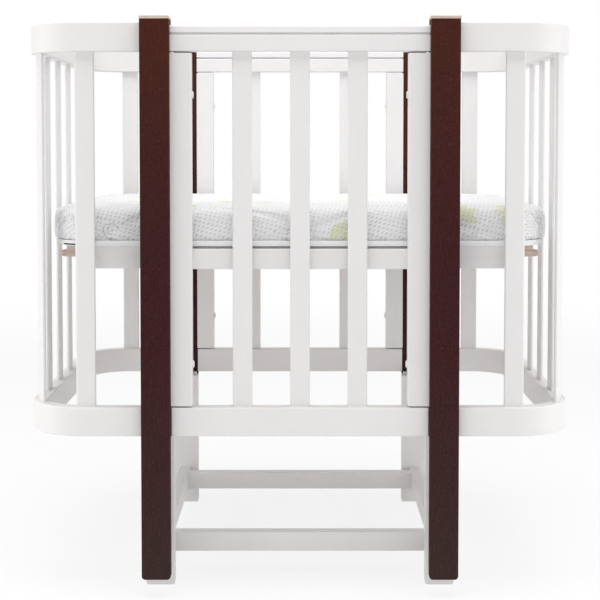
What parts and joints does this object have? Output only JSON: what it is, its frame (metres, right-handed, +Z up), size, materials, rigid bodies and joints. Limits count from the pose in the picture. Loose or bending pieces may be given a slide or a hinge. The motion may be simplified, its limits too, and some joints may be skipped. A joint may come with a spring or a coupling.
{
  "type": "baby crib",
  "caption": "Small baby crib with rounded slatted ends, dark posts on white legs, a front panel that comes out, and a mattress on a height-adjustable slatted base.",
  "frame": {"origin": "on the floor, in the middle of the four legs", "axes": "+X to the right along the length of the crib, +Y to the back, +Z up"},
  "size_m": [0.899, 0.6608, 0.9405],
  "materials": {
    "white_paint": "satin white paint on solid wood",
    "white_cap": "smooth white rail cover",
    "dark_wood": "dark reddish stain, open vertical grain",
    "natural_wood": "clear matt lacquer on light wood",
    "mattress_cover": "quilted knitted cover over foam"
  },
  "bodies": {
    "frame": {"post_front_left": "dark_wood", "leg_front_left": "white_paint", "stile_front_left": "white_paint", "post_front_right": "dark_wood", "leg_front_right": "white_paint", "stile_front_right": "white_paint", "cross_stretcher_front": "white_paint", "post_back_left": "dark_wood", "leg_back_left": "white_paint", "stile_back_left": "white_paint", "post_back_right": "dark_wood", "leg_back_right": "white_paint", "stile_back_right": "white_paint", "back_top_rail": "white_paint", "back_rail_cap": "white_cap", "back_bottom_rail": "white_paint", "back_slat_1": "white_paint", "back_slat_2": "white_paint", "back_slat_3": "white_paint", "cross_stretcher_back": "white_paint", "lower_ring_left": "white_paint", "upper_ring_left": "white_paint", "side_stretcher_left": "white_paint", "left_end_slat_1": "white_paint", "left_end_slat_2": "white_paint", "left_end_slat_3": "white_paint", "left_end_slat_4": "white_paint", "left_end_slat_5": "white_paint", "left_end_slat_6": "white_paint", "left_end_slat_7": "white_paint", "left_end_slat_8": "white_paint", "lower_ring_right": "white_paint", "upper_ring_right": "white_paint", "side_stretcher_right": "white_paint", "right_end_slat_1": "white_paint", "right_end_slat_2": "white_paint", "right_end_slat_3": "white_paint", "right_end_slat_4": "white_paint", "right_end_slat_5": "white_paint", "right_end_slat_6": "white_paint", "right_end_slat_7": "white_paint", "right_end_slat_8": "white_paint", "post_caps": "natural_wood", "stile_bolts": "white_paint"},
    "front_panel": {"front_top_rail": "white_paint", "front_rail_cap": "white_cap", "front_bottom_rail": "white_paint", "front_slat_1": "white_paint", "front_slat_2": "white_paint", "front_slat_3": "white_paint"},
    "mattress_base": {"base_support_rail_front": "white_paint", "base_apron_front": "white_paint", "base_bearer_front": "natural_wood", "base_support_rail_back": "white_paint", "base_apron_back": "white_paint", "base_bearer_back": "natural_wood", "base_laths": "natural_wood"},
    "mattress": {"mattress": "mattress_cover"}
  },
  "joints": [
    {"name": "front_panel_pull", "type": "slide", "parent": "frame", "child": "front_panel", "axis": [0, -1, 0], "range_m": [0, 0.25]},
    {"name": "base_height", "type": "slide", "parent": "frame", "child": "mattress_base", "axis": [0, 0, 1], "range_m": [-0.22, 0]},
    {"name": "mattress_lift", "type": "slide", "parent": "mattress_base", "child": "mattress", "axis": [0, 0, 1], "range_m": [0, 0.4]}
  ]
}
